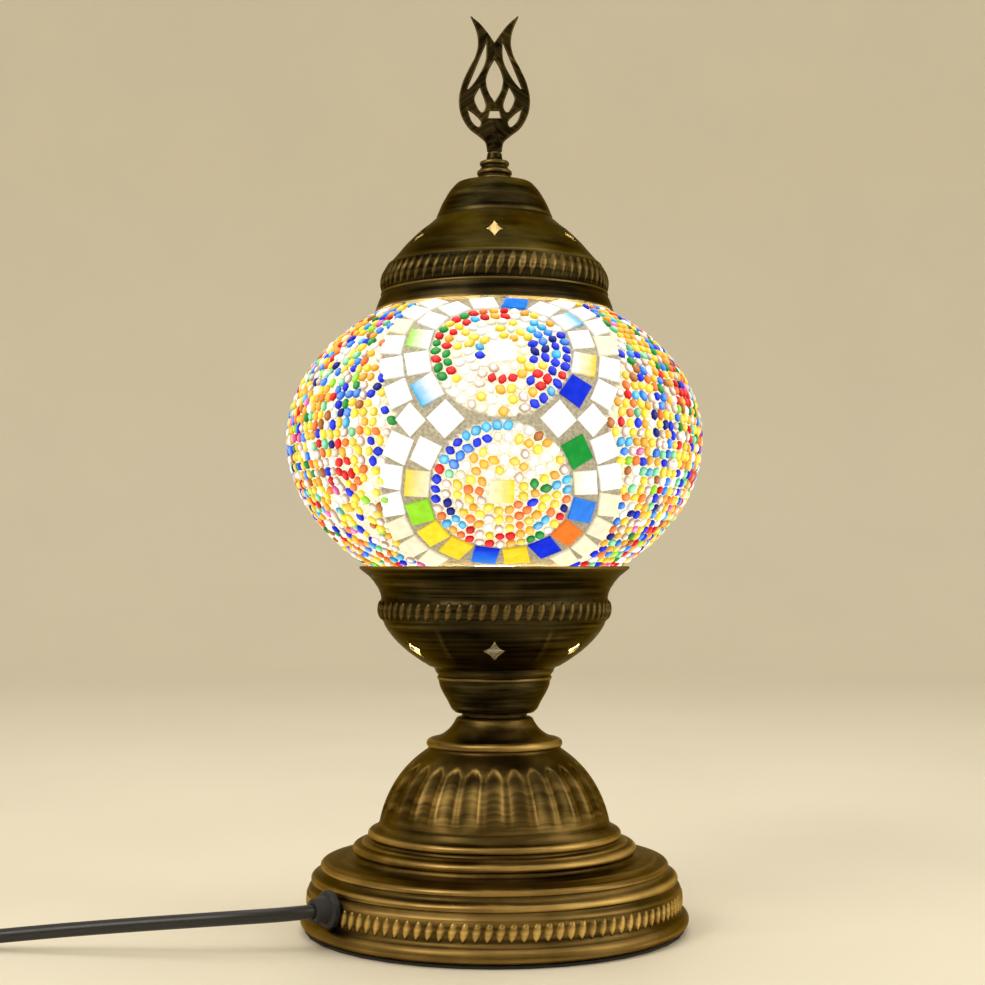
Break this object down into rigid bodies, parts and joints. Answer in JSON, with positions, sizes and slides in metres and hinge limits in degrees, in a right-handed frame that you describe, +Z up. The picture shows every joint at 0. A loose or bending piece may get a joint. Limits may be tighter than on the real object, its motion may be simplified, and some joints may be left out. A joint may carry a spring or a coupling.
{
  "type": "mosaic glass table lamp",
  "caption": "Table lamp with a stepped brass base, a gallery cup, a lit mosaic glass globe, a pierced cap and a tulip finial, on a black mains cord.",
  "frame": {"origin": "centre of the base on the surface it stands on", "axes": "+Z up along the stem; -Y is the lamp's front, the cord leaves the base to the left of it, towards -X"},
  "size_m": [0.4966, 0.168, 0.368],
  "materials": {
    "antique_brass": "oxidised, brushed on the lathe",
    "dark_brass": "oxidised dark, ridges rubbed bright",
    "zinc_steel": "zinc plated",
    "contact_brass": "bright",
    "pad_foam": "matt foam",
    "grommet_rubber": "matt",
    "holder_plastic": "moulded, satin",
    "switch_plastic": "moulded, fine texture",
    "cord_pvc": "smooth PVC sheath",
    "wire_live": "insulated wire",
    "wire_neutral": "insulated wire",
    "insulator_ceramic": "unglazed",
    "bulb_opal": "opal, lit",
    "bulb_insulator_glass": "black glass",
    "led_board": "white solder mask",
    "globe_glass": "clear blown glass",
    "mosaic": "cut glass tiles and seed beads in pale grout, lit from behind",
    "plug_pin": "nickel plated",
    "tie_fabric": "hook and loop"
  },
  "bodies": {
    "root": {"base_shell": "antique_brass", "base_pad": "pad_foam", "stem_tube": "zinc_steel", "lower_washer": "zinc_steel", "lower_nut": "zinc_steel", "neck_spacer": "dark_brass", "upper_washer": "zinc_steel", "upper_nut": "zinc_steel", "cup_shell": "dark_brass", "socket_cap": "holder_plastic", "socket_shell": "holder_plastic", "socket_sleeve": "contact_brass", "socket_core": "insulator_ceramic", "socket_contact": "contact_brass", "socket_wire_live": "wire_live", "socket_wire_neutral": "wire_neutral", "cord_grommet": "grommet_rubber", "inner_lead": "cord_pvc", "cord_lead": "cord_pvc", "cord_middle": "cord_pvc", "cord_end": "cord_pvc", "cord_coil": "cord_pvc", "coil_tie": "tie_fabric", "switch_case_bottom": "switch_plastic", "switch_case_top": "switch_plastic", "switch_screw_lamp_end": "zinc_steel", "switch_screw_plug_end": "zinc_steel", "switch_contact_lamp_end": "contact_brass", "switch_contact_plug_end": "contact_brass", "plug_body": "cord_pvc", "plug_boot": "cord_pvc", "plug_pin_left": "plug_pin", "plug_pin_right": "plug_pin"},
    "globe": {"globe_glass": "globe_glass", "mosaic_skin": "mosaic"},
    "cap": {"cap_shell": "dark_brass", "cap_stud": "zinc_steel", "cap_nut": "zinc_steel", "cap_bracket": "zinc_steel"},
    "finial": {"finial_ferrule": "dark_brass", "finial_tulip": "dark_brass"},
    "bulb": {"bulb_glass": "bulb_opal", "bulb_screw_cap": "plug_pin", "bulb_insulator": "bulb_insulator_glass", "bulb_contact": "zinc_steel", "bulb_led_board": "led_board"},
    "rocker": {"switch_rocker": "switch_plastic"}
  },
  "joints": [
    {"name": "globe_lift", "type": "slide", "parent": "root", "child": "globe", "axis": [0, 0, 1], "range_m": [0, 0.1]},
    {"name": "cap_lift", "type": "slide", "parent": "globe", "child": "cap", "axis": [0, 0, 1], "range_m": [0, 0.06]},
    {"name": "finial_turn", "type": "hinge", "parent": "cap", "child": "finial", "pos_m": [0, 0, 0.3003], "axis": [0, 0, 1], "continuous": true},
    {"name": "bulb_unscrew", "type": "slide", "parent": "root", "child": "bulb", "axis": [0, 0, 1], "range_m": [0, 0.03]},
    {"name": "switch_press", "type": "hinge", "parent": "root", "child": "rocker", "pos_m": [-0.294, -0.043, 0.0122], "axis": [0, 1, 0], "range_deg": [0, 14]}
  ]
}
